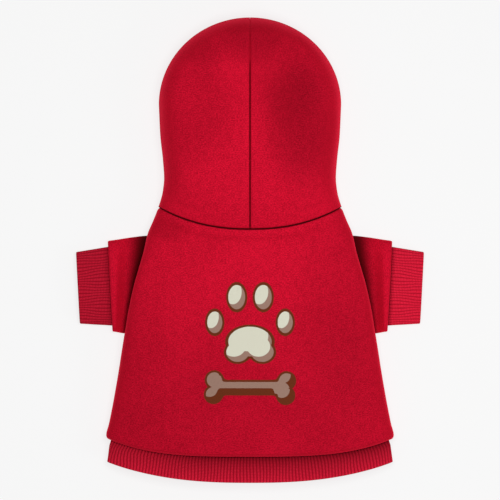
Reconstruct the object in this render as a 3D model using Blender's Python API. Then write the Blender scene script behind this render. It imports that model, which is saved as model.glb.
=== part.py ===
"""Dog sweatshirt with a hood, laid on its belly with the back up.

Nine cloth pieces: two hood panels, a back panel, a belly panel, two short sleeves, two ribbed
cuffs and a ribbed hem band. Metres, +X to the wearer's right as seen here, +Y from the hem
towards the hood's crown, +Z up. The floor is z = 0, and the origin is under the middle of the
whole garment. Each piece is a hollow wall of cloth, as sewn: the hood's edge laps over the
neck, the back's edge over the hem band, each sleeve's edge over its cuff, and each sleeve's
root goes in through its armhole.
"""

import math
from collections import namedtuple

import bmesh
import bpy
from mathutils import Vector

# Lengths from the hood's crown to the hem, along the centre of the back.
HOOD_LENGTH = 0.2321
BACK_LENGTH = 0.2497
BAND_DEPTH = 0.0286

# Half widths of the lying garment, at the side folds.
HOOD_HALF_WIDTH = 0.1001
NECK_HALF_WIDTH = 0.1006
BODY_HALF_WIDTH = 0.1579

# Heights of the lying garment above the floor.
HOOD_HEIGHT = 0.062
BODY_HEIGHT = 0.050

# How far each seam or edge runs towards the crown at the side folds, and further on the belly.
NECK_RISE = 0.0242
THROAT_RISE = 0.0120
HEM_RISE = 0.0194
BELLY_HEM_RISE = 0.0120
BAND_RISE = 0.0222

# The rounded top of the hood, and the opening for the face on its underside.
CROWN_LENGTH = 0.0957
FACE_SHARE = 0.60

# The sleeves: where the armhole's middle lies, and the sizes of the tube.
ARMHOLE_FROM_NECK = 0.0629
ARMHOLE_HALF_WIDTH = 0.0537
ARMHOLE_HEIGHT = 0.0135
ARMHOLE_ABOVE_FLOOR = 0.0035
SLEEVE_HEIGHT = 0.0215
SLEEVE_LENGTH = 0.0262
SLEEVE_DROOP = math.radians(3.0)
CUFF_LENGTH = 0.0355
CUFF_ROOT_HALF_WIDTH = 0.0434
CUFF_END_HALF_WIDTH = 0.0395
CUFF_END_HEIGHT = 0.0150

# Cloth and seams.
CLOTH = 0.0022
RIB_CLOTH = 0.0022
HEM_RIB_PITCH = 0.0036
CUFF_RIB_PITCH = 0.0031
RIB_RELIEF = 0.0007
SEAM_GAP = 0.0004
LAP = 0.0040
LAP_DEPTH = CLOTH + SEAM_GAP
SEAM_VALLEY = 0.0022
SEAM_VALLEY_WIDTH = 0.0090

# How finely each surface is divided.
TOP_STEPS = 11
CHINE_STEPS = 5
FLAT_SHARES = (0.08, 0.50, 1.00)
CHEEK_STEPS = 7
CROWN_STEPS = 8
POINTS_PER_INNER_POINT = 4

CROWN_Y = (HOOD_LENGTH + BACK_LENGTH + BAND_DEPTH) / 2
NECK_Y = CROWN_Y - HOOD_LENGTH
HEM_Y = NECK_Y - BACK_LENGTH
BAND_Y = HEM_Y - BAND_DEPTH
NECK_SIDE_Y = NECK_Y + NECK_RISE
HEM_SIDE_Y = HEM_Y + HEM_RISE
CROWN_CENTRE_Y = CROWN_Y - CROWN_LENGTH
SIDE_LENGTH = NECK_SIDE_Y - HEM_SIDE_Y
ARMHOLE_Y = NECK_Y - ARMHOLE_FROM_NECK

# up: share of the way from the neck to the widest line of the hood. width: share of
# HOOD_HALF_WIDTH, with the neck's own width below. height, fold: shares of HOOD_HEIGHT, for the
# centre seam and the side fold. opening: half width of the face opening, as a share of the width.
HoodSection = namedtuple("HoodSection", "up width height fold opening")
HOOD_SECTIONS = (
    HoodSection(0.00, NECK_HALF_WIDTH / HOOD_HALF_WIDTH, 0.690, 0.30, 0.00),
    HoodSection(0.06, 0.982, 0.740, 0.32, 0.00),
    HoodSection(0.15, 0.957, 0.800, 0.34, 0.00),
    HoodSection(0.28, 0.942, 0.870, 0.35, 0.10),
    HoodSection(0.45, 0.954, 0.930, 0.35, 0.44),
    HoodSection(0.70, 0.984, 0.980, 0.34, 0.56),
    HoodSection(1.00, 1.000, 1.000, 0.33, FACE_SHARE),
)

# down: share of the side's length from the neck seam to the hem seam. flare: share of the way
# from the neck's half width to the body's. height, fold: shares of BODY_HEIGHT. flat: share of
# the half width that lies on the floor. chine: how straight the turned-under side is, from 1
# for a round one to 2 for a straight one.
BodySection = namedtuple("BodySection", "down flare height fold flat chine")
BODY_SECTIONS = (
    BodySection(0.020, 0.030, 0.82, 0.38, 0.62, 1.1),
    BodySection(0.060, 0.100, 0.89, 0.43, 0.63, 1.3),
    BodySection(0.115, 0.202, 0.95, 0.50, 0.65, 1.5),
    BodySection(0.197, 0.286, 0.99, 0.57, 0.66, 1.7),
    BodySection(0.270, 0.380, 1.00, 0.60, 0.66, 1.7),
    BodySection(0.338, 0.466, 1.00, 0.60, 0.67, 1.7),
    BodySection(0.444, 0.569, 0.98, 0.57, 0.69, 1.7),
    BodySection(0.547, 0.647, 0.95, 0.49, 0.73, 1.5),
    BodySection(0.625, 0.704, 0.93, 0.42, 0.77, 1.3),
    BodySection(0.704, 0.759, 0.91, 0.38, 0.80, 1.2),
    BodySection(0.840, 0.864, 0.88, 0.36, 0.83, 1.1),
    BodySection(0.935, 0.948, 0.86, 0.36, 0.85, 1.0),
    BodySection(0.985, 1.000, 0.83, 0.36, 0.86, 1.0),
    BodySection(1.000, 0.984, 0.75, 0.35, 0.86, 1.0),
)

# reach: share of the way from the armhole to the sleeve's edge. width: share of
# ARMHOLE_HALF_WIDTH. height, lift: shares of SLEEVE_HEIGHT, for the top and the underside.
SleeveSection = namedtuple("SleeveSection", "reach width height lift")
SLEEVE_SECTIONS = (
    SleeveSection(0.30, 0.995, 0.70, 0.06),
    SleeveSection(0.52, 0.980, 0.66, 0.00),
    SleeveSection(0.88, 0.940, 1.00, 0.00),
    SleeveSection(1.00, 0.918, 0.90, 0.03),
)

# Soft hollows in the upper cloth. x, y: the middle, as shares of the half width and of the
# length from the neck seam to the crown, or to the hem when y is negative. across, along: its
# reach, in the same shares. depth: share of HOOD_HEIGHT or BODY_HEIGHT.
Dent = namedtuple("Dent", "x y across along depth")
HOOD_DENTS = (
    Dent(0.50, 0.62, 0.16, 0.24, 0.085),
    Dent(-0.62, 0.66, 0.22, 0.26, 0.045),
    Dent(-0.30, 0.30, 0.25, 0.12, 0.030),
)
BODY_DENTS = (
    Dent(-0.45, -0.70, 0.30, 0.22, 0.050),
    Dent(0.55, -0.34, 0.20, 0.26, 0.045),
    Dent(0.10, -0.12, 0.30, 0.07, 0.035),
)

CROWN_ROUNDNESS = 0.80
NECK_CURVE = 2.3
HEM_CURVE = 3.3
BAND_CURVE = 2.5
BELLY_CURVE = 3.0
TURN_SHARE = 0.38
FAN_SHARE = 0.50
ARMHOLE_INSIDE = 0.0060
ARMHOLE_OUTSIDE = 0.0020
CUTTER_START = 0.50
SLEEVE_FOLD_SHARE = 0.46
SLEEVE_FLAT_SHARE = 0.86
BAND_END_HEIGHT = 0.90

# Dents and the hood's seam valley grow from nothing to their full depth between these shares of
# the height, so that they stay in the upper cloth and leave the side folds as they are.
HOOD_UPPER = (0.35, 0.75)
BODY_UPPER = (0.62, 0.82)


def read_table(rows, at, column):
    """A column of a table at a place along its first column, on a smooth curve through the rows."""
    places = [row[0] for row in rows]
    values = [getattr(row, column) for row in rows]
    if at <= places[0]:
        return values[0]
    if at >= places[-1]:
        return values[-1]
    i = max(k for k, place in enumerate(places[:-1]) if place <= at)
    steps = [b - a for a, b in zip(places, places[1:])]
    rates = [(b - a) / step for a, b, step in zip(values, values[1:], steps)]
    slopes = [rates[0]]
    for before, after in zip(rates, rates[1:]):
        slopes.append(2 * before * after / (before + after) if before * after > 0 else 0.0)
    slopes.append(rates[-1])
    t = (at - places[i]) / steps[i]
    start = (1 + 2 * t) * (1 - t) ** 2 * values[i] + t * (1 - t) ** 2 * steps[i] * slopes[i]
    end = t * t * (3 - 2 * t) * values[i + 1] - t * t * (1 - t) * steps[i] * slopes[i + 1]
    return start + end


def dent_depth(dents, across, along):
    """How far the dents lower the cloth at a place given in their own shares."""
    return sum(
        dent.depth * math.exp(-(((across - dent.x) / dent.across) ** 2)
                              - ((along - dent.y) / dent.along) ** 2)
        for dent in dents
    )


def upper_share(z, height, limits):
    """From 0 on the side folds to 1 on the upper cloth."""
    low, high = limits
    return min(max(z / height - low, 0.0) / (high - low), 1.0)


def half_outline(width, height, fold, flat, chine, lift=0.0):
    """Half a lying tube as (x, z): from its top centre, round the side fold, to its bottom centre."""
    points = []
    for step in range(TOP_STEPS + 1):
        angle = math.pi / 2 * step / TOP_STEPS
        rise = max(math.cos(angle), 0.0) ** CROWN_ROUNDNESS
        points.append((width * math.sin(angle) ** CROWN_ROUNDNESS, fold + (height - fold) * rise))
    for step in range(1, CHINE_STEPS + 1):
        angle = math.pi / 2 * step / CHINE_STEPS
        run = max(math.cos(angle), 0.0) ** chine
        points.append((flat + (width - flat) * run,
                       lift + (fold - lift) * (1 - math.sin(angle) ** chine)))
    points += [(flat * (1 - share), lift) for share in FLAT_SHARES]
    return points


def deeper(ring, distance, plane):
    """A closed ring moved towards its inside by a distance, in the plane of the two named axes."""
    first, second = plane
    pairs = list(zip(ring, ring[1:] + ring[:1]))
    turn = sum(a[first] * b[second] - b[first] * a[second] for a, b in pairs)
    inwards = math.copysign(distance, turn)
    moved = []
    for before, point, after in zip(ring[-1:] + ring[:-1], ring, ring[1:] + ring[:1]):
        along = Vector((after[first] - before[first], after[second] - before[second])).normalized()
        shifted = point.copy()
        shifted[first] -= along.y * inwards
        shifted[second] += along.x * inwards
        moved.append(shifted)
    return moved


def hood_line(up, turn):
    """One line across the right hood panel, from the centre seam to the face opening.

    up runs from 0 at the neck to 1 at the widest line, and turn then runs from 0 to 1 round
    the crown, where the line swings from across the hood to along its centre seam.
    """
    angle = turn * math.pi / 2
    width = HOOD_HALF_WIDTH * read_table(HOOD_SECTIONS, up, "width")
    height = HOOD_HEIGHT * read_table(HOOD_SECTIONS, up, "height")
    fold_height = HOOD_HEIGHT * read_table(HOOD_SECTIONS, up, "fold")
    opening = read_table(HOOD_SECTIONS, up, "opening")
    side_y = NECK_SIDE_Y + up * (CROWN_CENTRE_Y - NECK_SIDE_Y)
    fold = Vector((width * math.cos(angle), side_y + CROWN_LENGTH * math.sin(angle), fold_height))
    seam_y = NECK_Y + up * (CROWN_CENTRE_Y - NECK_Y) + FAN_SHARE * CROWN_LENGTH * math.sin(angle)
    throat_rise = THROAT_RISE * (1 - up)
    rim = Vector((fold.x * opening,
                  side_y + throat_rise + CROWN_LENGTH * FACE_SHARE * math.sin(angle), 0.0))
    curve = NECK_CURVE + (1 - NECK_CURVE) * up
    points = []
    for step in range(TOP_STEPS + 1):
        along = math.pi / 2 * step / TOP_STEPS
        out = math.sin(along) ** CROWN_ROUNDNESS
        rise = max(math.cos(along), 0.0) ** CROWN_ROUNDNESS
        points.append(Vector((fold.x * out, seam_y + (fold.y - seam_y) * out ** curve,
                              fold.z + (height - fold.z) * rise)))
    turned = fold.lerp(rim, TURN_SHARE)
    for step in range(1, CHINE_STEPS + 1):
        along = math.pi / 2 * step / CHINE_STEPS
        point = turned.lerp(fold, max(math.cos(along), 0.0))
        points.append(Vector((point.x, point.y, fold.z * (1 - math.sin(along)))))
    turned.z = 0.0
    points += [turned.lerp(rim, share) for share in FLAT_SHARES]
    return points


def hood_lines():
    """All lines of the right hood panel, with one of them where the neck is lapped."""
    cheek = [LAP / (CROWN_CENTRE_Y - NECK_SIDE_Y)]
    cheek += [step / CHEEK_STEPS for step in range(1, CHEEK_STEPS + 1)]
    lines = [hood_line(0.0, 0.0)] + [hood_line(up, 0.0) for up in cheek]
    return lines + [hood_line(1.0, step / CROWN_STEPS) for step in range(1, CROWN_STEPS + 1)]


def finish_hood_point(point, side):
    """A hood point with its dents, the valley along the centre seam and the seam's gap."""
    share = side * point.x / HOOD_HALF_WIDTH
    along = (point.y - NECK_Y) / HOOD_LENGTH
    upper = upper_share(point.z, HOOD_HEIGHT, HOOD_UPPER)
    valley = SEAM_VALLEY * math.exp(-((point.x / SEAM_VALLEY_WIDTH) ** 2)) * upper
    dent = HOOD_HEIGHT * dent_depth(HOOD_DENTS, share, along) * upper
    x = max(point.x, SEAM_GAP / 2)
    return Vector((side * x, point.y, point.z - valley - dent))


def full_ring(half):
    """A closed ring from half an outline: round the right side, then back along the left one."""
    left = [Vector((-point.x, point.y, point.z)) for point in half[-2:0:-1]]
    return half + left


def body_width(down):
    """The body's half width at a share of the way down its side, from the neck to the hem."""
    flare = read_table(BODY_SECTIONS, down, "flare")
    return NECK_HALF_WIDTH + (BODY_HALF_WIDTH - NECK_HALF_WIDTH) * flare


def body_ring(down, neck_half):
    """The outer line round the body at a share of the way down to the hem seam."""
    width = body_width(down)
    height = BODY_HEIGHT * read_table(BODY_SECTIONS, down, "height")
    fold = BODY_HEIGHT * read_table(BODY_SECTIONS, down, "fold")
    flat = width * read_table(BODY_SECTIONS, down, "flat")
    chine = read_table(BODY_SECTIONS, down, "chine")
    half = []
    outline = half_outline(width, height, fold, flat, chine)
    for number, ((x, z), neck_point) in enumerate(zip(outline, neck_half)):
        hem_y = edge_y(HEM_Y, HEM_RISE, HEM_CURVE, x / width, number > TOP_STEPS)
        half.append(Vector((x, neck_point.y + down * (hem_y - neck_point.y), z)))
    return [dented_body_point(point, width) for point in full_ring(half)]


def edge_y(centre_y, rise, curve, share, under):
    """Where a curved hem lies at a share of the half width, on the back or under the belly."""
    if under:
        return centre_y + rise + BELLY_HEM_RISE * (1 - abs(share) ** BELLY_CURVE)
    return centre_y + rise * abs(share) ** curve


def dented_body_point(point, width):
    upper = upper_share(point.z, BODY_HEIGHT, BODY_UPPER)
    along = (point.y - NECK_Y) / BACK_LENGTH
    dent = BODY_HEIGHT * dent_depth(BODY_DENTS, point.x / width, along) * upper
    return Vector((point.x, point.y, point.z - dent))


def body_side_x(y, z):
    """How far out the turned-under side of the body is at a height below its fold."""
    down = (NECK_SIDE_Y - y) / SIDE_LENGTH
    width = body_width(down)
    fold = BODY_HEIGHT * read_table(BODY_SECTIONS, down, "fold")
    flat = width * read_table(BODY_SECTIONS, down, "flat")
    chine = read_table(BODY_SECTIONS, down, "chine")
    sine = (1 - min(z / fold, 1.0)) ** (1 / chine)
    return flat + (width - flat) * math.sqrt(max(1 - sine * sine, 0.0)) ** chine


def material(name, colour, roughness):
    """A plain cloth finish."""
    made = bpy.data.materials.new(name)
    made.use_nodes = True
    shader = made.node_tree.nodes["Principled BSDF"]
    shader.inputs["Base Color"].default_value = (*colour, 1.0)
    shader.inputs["Roughness"].default_value = roughness
    shader.inputs["Metallic"].default_value = 0.0
    return made


def add_object(name, bm, finish):
    """A mesh object from bmesh, with its faces turned outwards and smooth."""
    mesh = bpy.data.meshes.new(name)
    bm.to_mesh(mesh)
    bm.free()
    mesh.shade_smooth()
    made = bpy.data.objects.new(name, mesh)
    made.data.materials.append(finish)
    bpy.context.scene.collection.objects.link(made)
    return made


def skin(lines, closed, flip):
    """A bmesh surface over lines that all have the same number of points."""
    bm = bmesh.new()
    rows = [[bm.verts.new(point) for point in line] for line in lines]
    for upper, lower in zip(rows, rows[1:]):
        count = len(upper)
        for i in range(count if closed else count - 1):
            j = (i + 1) % count
            corners = [upper[i], upper[j], lower[j], lower[i]]
            bm.faces.new(corners[::-1] if flip else corners)
    return bm


def thicken(made, wall):
    """A wall of cloth that grows inwards from the modelled outer surface."""
    solid = made.modifiers.new("cloth", "SOLIDIFY")
    solid.thickness = wall
    solid.offset = -1.0
    return made


def make_hood_panel(name, side, finish):
    lines = [[finish_hood_point(point, side) for point in line] for line in hood_lines()]
    return thicken(add_object(name, skin(lines, False, side < 0), finish), CLOTH)


def neck_rings(lines):
    """The two rings of the body that lie inside the hood's lapped edge."""
    rings = []
    for line, shift in ((lines[1], 0.0), (lines[0], SEAM_GAP)):
        right, left = ([finish_hood_point(point, side) for point in line] for side in (1, -1))
        ring = right + left[-2:0:-1]
        ring[0].x = ring[len(line) - 1].x = 0.0
        rings.append([Vector((p.x, p.y - shift, p.z)) for p in deeper(ring, LAP_DEPTH, (0, 2))])
    return rings


def body_rings():
    lines = hood_lines()
    downs = [section.down for section in BODY_SECTIONS]
    return neck_rings(lines) + [body_ring(down, lines[0]) for down in downs]


def make_body_panels(finish):
    """The back panel, over the top and round both sides, and the belly panel between its edges."""
    rings = body_rings()
    seam = TOP_STEPS + CHINE_STEPS + 1
    count = len(rings[0])
    back = [ring[count - seam:] + ring[:seam + 1] for ring in rings]
    belly = [ring[seam:count - seam + 1] for ring in rings]
    for line in belly:
        line[0] = line[0] - Vector((SEAM_GAP, 0.0, 0.0))
        line[-1] = line[-1] + Vector((SEAM_GAP, 0.0, 0.0))
    back_panel = thicken(add_object("back_panel", skin(back, False, True), finish), CLOTH)
    belly_panel = thicken(add_object("belly_panel", skin(belly, False, True), finish), CLOTH)
    return back_panel, belly_panel, rings[-1]


def sleeve_reach():
    """How far out from the centre line the sleeve's edge lies."""
    return body_width((NECK_SIDE_Y - ARMHOLE_Y) / SIDE_LENGTH) + SLEEVE_LENGTH


def sleeve_outline(half_width, height, lift):
    """A closed sleeve section as (across, z), starting at its top centre."""
    fold = lift + SLEEVE_FOLD_SHARE * (height - lift)
    half = half_outline(half_width, height, fold, SLEEVE_FLAT_SHARE * half_width, 1.0, lift)
    return half + [(-across, z) for across, z in half[-2:0:-1]]


def sleeve_point(out, across, z, side):
    """A point of a sleeve from its distance out from the centre line and across its own width."""
    turned = Vector((out, -math.tan(SLEEVE_DROOP) * (out - sleeve_reach()))) + Vector(
        (math.sin(SLEEVE_DROOP) * across, math.cos(SLEEVE_DROOP) * across))
    return Vector((side * turned.x, ARMHOLE_Y + turned.y, z))


def sleeve_rings(side):
    """The sleeve's rings, from inside the body, out through the armhole, to the turned edge."""
    root = sleeve_outline(ARMHOLE_HALF_WIDTH, ARMHOLE_ABOVE_FLOOR + ARMHOLE_HEIGHT,
                          ARMHOLE_ABOVE_FLOOR)
    walls = [body_side_x(ARMHOLE_Y + across, z) - math.sin(SLEEVE_DROOP) * across
             for across, z in root]
    rings = []
    for shift in (-ARMHOLE_INSIDE, ARMHOLE_OUTSIDE):
        rings.append([sleeve_point(wall + shift, across, z, side)
                      for wall, (across, z) in zip(walls, root)])
    for section in SLEEVE_SECTIONS:
        outline = sleeve_outline(ARMHOLE_HALF_WIDTH * section.width,
                                 SLEEVE_HEIGHT * section.height, SLEEVE_HEIGHT * section.lift)
        starts = [wall + ARMHOLE_OUTSIDE for wall in walls]
        rings.append([sleeve_point(start + section.reach * (sleeve_reach() - start), across, z, side)
                      for start, (across, z) in zip(starts, outline)])
    return rings


def make_sleeve(name, side, finish):
    rings = sleeve_rings(side)
    return thicken(add_object(name, skin(rings, True, side > 0), finish), CLOTH)


def cut_armhole(back_panel, side):
    """An armhole in the turned-under side of the back panel, a seam's gap larger than the sleeve."""
    root = sleeve_outline(ARMHOLE_HALF_WIDTH + SEAM_GAP,
                          ARMHOLE_ABOVE_FLOOR + ARMHOLE_HEIGHT + SEAM_GAP,
                          ARMHOLE_ABOVE_FLOOR - SEAM_GAP)
    ends = (NECK_HALF_WIDTH * CUTTER_START, sleeve_reach())
    lines = [[sleeve_point(out, across, z, side) for across, z in root] for out in ends]
    bm = skin(lines, True, side < 0)
    bmesh.ops.holes_fill(bm, edges=bm.edges[:])
    bmesh.ops.recalc_face_normals(bm, faces=bm.faces[:])
    name = "armhole_cutter_" + ("right" if side > 0 else "left")
    cutter = add_object(name, bm, back_panel.data.materials[0])
    cutter.hide_render = True
    cutter.display_type = "WIRE"
    cut = back_panel.modifiers.new(name, "BOOLEAN")
    cut.object = cutter
    cut.operation = "DIFFERENCE"


def evenly_spaced(ring, count):
    """Points at even steps of length round a closed ring, starting at its first point."""
    closed = ring + ring[:1]
    lengths = [0.0]
    for a, b in zip(closed, closed[1:]):
        lengths.append(lengths[-1] + (b - a).length)
    points, k = [], 0
    for step in range(count):
        at = lengths[-1] * step / count
        while lengths[k + 1] < at:
            k += 1
        points.append(closed[k].lerp(closed[k + 1], (at - lengths[k]) / (lengths[k + 1] - lengths[k])))
    return points


def ribbed_tube(name, rings, pitch, plane, finish):
    """A closed tube of rib knit: ridges on the outside, smooth inside, open at both ends.

    rings are the crests' lines. plane gives the two axes that a ring turns in, for its depth.
    """
    length = sum((b - a).length for a, b in zip(rings[0], rings[0][1:] + rings[0][:1]))
    ribs = 2 * max(round(length / pitch / 2), 4)
    count = 2 * ribs
    outer_rows, inner_rows = [], []
    for ring in rings:
        crest = evenly_spaced(ring, count)
        valley = deeper(crest, RIB_RELIEF, plane)
        outer_rows.append([valley[i] if i % 2 else crest[i] for i in range(count)])
        inner_rows.append(deeper(crest, RIB_CLOTH, plane)[::POINTS_PER_INNER_POINT])
    bm = bmesh.new()
    outer = [[bm.verts.new(point) for point in row] for row in outer_rows]
    inner = [[bm.verts.new(point) for point in row] for row in inner_rows]
    close_rows(bm, outer)
    close_rows(bm, inner)
    for outer_row, inner_row in ((outer[0], inner[0]), (outer[-1], inner[-1])):
        for k in range(len(inner_row)):
            start = k * POINTS_PER_INNER_POINT
            edge = [outer_row[(start + i) % count] for i in range(POINTS_PER_INNER_POINT + 1)]
            bm.faces.new(edge + [inner_row[(k + 1) % len(inner_row)], inner_row[k]])
    bmesh.ops.triangulate(bm, faces=[face for face in bm.faces if len(face.verts) > 4])
    bmesh.ops.recalc_face_normals(bm, faces=bm.faces[:])
    return add_object(name, bm, finish)


def close_rows(bm, rows):
    for upper, lower in zip(rows, rows[1:]):
        for i in range(len(upper)):
            j = (i + 1) % len(upper)
            bm.faces.new([upper[i], upper[j], lower[j], lower[i]])


def make_hem_band(last_body_ring, finish):
    """The ribbed band: its upper edge lies inside the body's turned edge, and its lower one is bare."""
    top = deeper(last_body_ring, LAP_DEPTH, (0, 2))
    hidden = [point + Vector((0.0, LAP, 0.0)) for point in top]
    shown = [point - Vector((0.0, SEAM_GAP, 0.0)) for point in top]
    width = max(point.x for point in last_body_ring)
    bottom = []
    for number, point in enumerate(last_body_ring):
        under = TOP_STEPS < number < len(last_body_ring) - TOP_STEPS
        end_y = edge_y(BAND_Y, BAND_RISE, BAND_CURVE, point.x / width, under)
        bottom.append(Vector((point.x, end_y, point.z * BAND_END_HEIGHT)))
    return ribbed_tube("hem_band", [hidden, shown, bottom], HEM_RIB_PITCH, (0, 2), finish)


def make_cuff(name, side, finish):
    """A ribbed cuff: its root lies inside the sleeve's turned edge and is narrower than it."""
    edge = SLEEVE_SECTIONS[-1]
    root = sleeve_outline(CUFF_ROOT_HALF_WIDTH, SLEEVE_HEIGHT * edge.height - LAP_DEPTH,
                          SLEEVE_HEIGHT * edge.lift + LAP_DEPTH)
    end = sleeve_outline(CUFF_END_HALF_WIDTH, CUFF_END_HEIGHT, 0.0)
    places = ((root, -LAP), (root, SEAM_GAP), (end, CUFF_LENGTH))
    rings = [[sleeve_point(sleeve_reach() + out, across, z, side) for across, z in outline]
             for outline, out in places]
    return ribbed_tube(name, rings, CUFF_RIB_PITCH, (1, 2), finish)


def main():
    for existing in list(bpy.data.objects):
        bpy.data.objects.remove(existing)
    fleece = material("red_fleece", (0.56, 0.005, 0.028), 0.92)
    rib_knit = material("red_rib_knit", (0.50, 0.005, 0.026), 0.90)
    make_hood_panel("hood_left", -1, fleece)
    make_hood_panel("hood_right", 1, fleece)
    back_panel, _, last_ring = make_body_panels(fleece)
    for word, side in (("left", -1), ("right", 1)):
        make_sleeve("sleeve_" + word, side, fleece)
        cut_armhole(back_panel, side)
        make_cuff("cuff_" + word, side, rib_knit)
    make_hem_band(last_ring, rib_knit)


main()
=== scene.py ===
# %% [markdown]
# A hooded sweatshirt for a small dog, laid on its belly and seen from straight above.
# The real one is sewn from flat pieces of thick, smooth fleece, with rib knit at the hem and at
# the end of each sleeve. Each cut piece becomes one object here: a wall of cloth with its own
# UV map in metres, so that the knit follows the cloth and not the space around it.
#
# We start with the frame: the plain solids whose places and sizes every piece of cloth keeps.

# %% The frame
import math

import bpy
import numpy as np
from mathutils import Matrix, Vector, noise


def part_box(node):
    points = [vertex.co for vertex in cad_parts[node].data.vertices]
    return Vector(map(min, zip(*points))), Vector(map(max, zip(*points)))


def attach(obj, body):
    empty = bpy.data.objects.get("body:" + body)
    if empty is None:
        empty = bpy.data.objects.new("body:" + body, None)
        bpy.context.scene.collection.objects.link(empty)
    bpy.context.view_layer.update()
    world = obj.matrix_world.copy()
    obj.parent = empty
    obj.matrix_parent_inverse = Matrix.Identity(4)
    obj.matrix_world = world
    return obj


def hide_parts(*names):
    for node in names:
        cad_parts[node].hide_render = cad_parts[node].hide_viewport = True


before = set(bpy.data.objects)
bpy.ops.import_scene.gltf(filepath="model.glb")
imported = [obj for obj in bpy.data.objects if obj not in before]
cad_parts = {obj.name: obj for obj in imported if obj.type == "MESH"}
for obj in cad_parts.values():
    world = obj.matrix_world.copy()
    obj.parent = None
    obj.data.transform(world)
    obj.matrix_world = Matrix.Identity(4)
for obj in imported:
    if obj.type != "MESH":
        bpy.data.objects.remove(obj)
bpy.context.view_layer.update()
BODY = "root"
print("solids:", sorted(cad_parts))

# %% [markdown]
# The camera looks straight down from six metres with a very long lens, because the catalogue
# picture shows no perspective: the low cuffs are at the same scale as the high hood. The picture
# is 500 pixels wide, and each of them covers 1.1 mm of cloth.

# %% The camera
PICTURE_PIXELS = 500
METRES_PER_PIXEL = 0.001096
CAMERA_HEIGHT = 6.00
SENSOR_WIDTH = 0.036
CLOTH_LEVEL = 0.030


def make_camera():
    """A camera above the middle of the garment that frames the picture's square at cloth level."""
    bpy.ops.object.camera_add(location=(0.0, 0.0, CAMERA_HEIGHT), rotation=(0.0, 0.0, 0.0))
    camera = bpy.context.object
    camera.name = "camera_above"
    square = PICTURE_PIXELS * METRES_PER_PIXEL
    camera.data.sensor_width = SENSOR_WIDTH * 1000
    camera.data.lens = SENSOR_WIDTH * 1000 * (CAMERA_HEIGHT - CLOTH_LEVEL) / square
    camera.data.clip_start = 0.01
    bpy.context.scene.camera = camera
    return camera


camera = make_camera()
print("lens:", round(camera.data.lens, 1), "mm")

# %% [markdown]
# The studio is a pale light table under the garment, a white sky and two soft panels. The table
# glows by itself, so the garment's shadow on it stays faint, as in a cut-out catalogue picture.
# The key panel hangs low over the middle, so the cloth grows darker towards the garment's ends and
# where it slopes away. A weaker panel to the lower right adds a little light from that side.

# %% The studio
FLOOR_SIZE = 6.0
FLOOR_BELOW = 0.0005
FLOOR_COLOUR = (0.15, 0.15, 0.15)
FLOOR_GLOW = 0.80
SKY_STRENGTH = 0.30
KEY_PLACE = (0.08, 0.02, 1.25)
KEY_SIZE = 0.5
KEY_POWER = 9.2
FILL_PLACE = (1.6, -0.9, 1.0)
FILL_SIZE = 0.8
FILL_POWER = 7.0


def look_down_at(place, target=(0.0, 0.0, 0.0)):
    """The turn that points a light's or a camera's -Z axis at a target."""
    return (Vector(target) - Vector(place)).to_track_quat("-Z", "Y").to_euler()


def add_panel(name, place, size, power):
    bpy.ops.object.light_add(type="AREA", location=place, rotation=look_down_at(place))
    panel = bpy.context.object
    panel.name = name
    panel.data.shape = "DISK"
    panel.data.size = size
    panel.data.energy = power
    return panel


def make_floor():
    bpy.ops.mesh.primitive_plane_add(size=FLOOR_SIZE, location=(0.0, 0.0, -FLOOR_BELOW))
    floor = bpy.context.object
    floor.name = "studio_floor"
    paint = bpy.data.materials.new("studio_floor_paint")
    paint.use_nodes = True
    shader = paint.node_tree.nodes["Principled BSDF"]
    shader.inputs["Base Color"].default_value = (*FLOOR_COLOUR, 1.0)
    shader.inputs["Roughness"].default_value = 1.0
    shader.inputs["Specular IOR Level"].default_value = 0.0
    shader.inputs["Emission Color"].default_value = (1.0, 1.0, 1.0, 1.0)
    shader.inputs["Emission Strength"].default_value = FLOOR_GLOW
    floor.data.materials.append(paint)
    return floor


def make_sky():
    sky = bpy.data.worlds.new("studio_sky")
    sky.use_nodes = True
    sky.node_tree.nodes["Background"].inputs["Color"].default_value = (1.0, 1.0, 1.0, 1.0)
    sky.node_tree.nodes["Background"].inputs["Strength"].default_value = SKY_STRENGTH
    bpy.context.scene.world = sky


bpy.context.scene.view_settings.view_transform = "Standard"
make_floor()
make_sky()
add_panel("key_panel", KEY_PLACE, KEY_SIZE, KEY_POWER)
add_panel("fill_panel", FILL_PLACE, FILL_SIZE, FILL_POWER)

# %% [markdown]
# Next come the sizes. They are read off the solids, so a change there carries over, and the
# tables below give how a section of the garment changes along its length, as shares of them.

# %% Sizes from the solids
hood_low, hood_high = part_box("hood_right")
back_low, back_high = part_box("back_panel")

HOOD_HALF_WIDTH = 0.1001
NECK_HALF_WIDTH = 0.1006
BODY_HALF_WIDTH = back_high.x
HOOD_HEIGHT = 0.062
BODY_HEIGHT = back_high.z
CROWN_Y = hood_high.y
NECK_Y = hood_low.y
HEM_Y = back_low.y
BAND_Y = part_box("hem_band")[0].y
NECK_RISE = 0.0242
THROAT_RISE = 0.0120
HEM_RISE = 0.0194
BELLY_HEM_RISE = 0.0120
BAND_RISE = 0.0222
CROWN_LENGTH = 0.0957
FACE_SHARE = 0.60
CLOTH = 0.0022
SEAM_GAP = 0.0004
LAP = 0.0040
LAP_DEPTH = CLOTH + SEAM_GAP
NECK_SIDE_Y = NECK_Y + NECK_RISE
HEM_SIDE_Y = HEM_Y + HEM_RISE
CROWN_CENTRE_Y = CROWN_Y - CROWN_LENGTH
SIDE_LENGTH = NECK_SIDE_Y - HEM_SIDE_Y
print("hood", round((CROWN_Y - NECK_Y) * 1000), "mm, back", round((NECK_Y - HEM_Y) * 1000), "mm")

# %% [markdown]
# A garment's section is a lying tube: crowned above, folded at the sides and flat on the floor.
# Each row gives one section. Between the rows we read a smooth curve that never overshoots them,
# the same one that a spline with flattened peaks would give.

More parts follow.
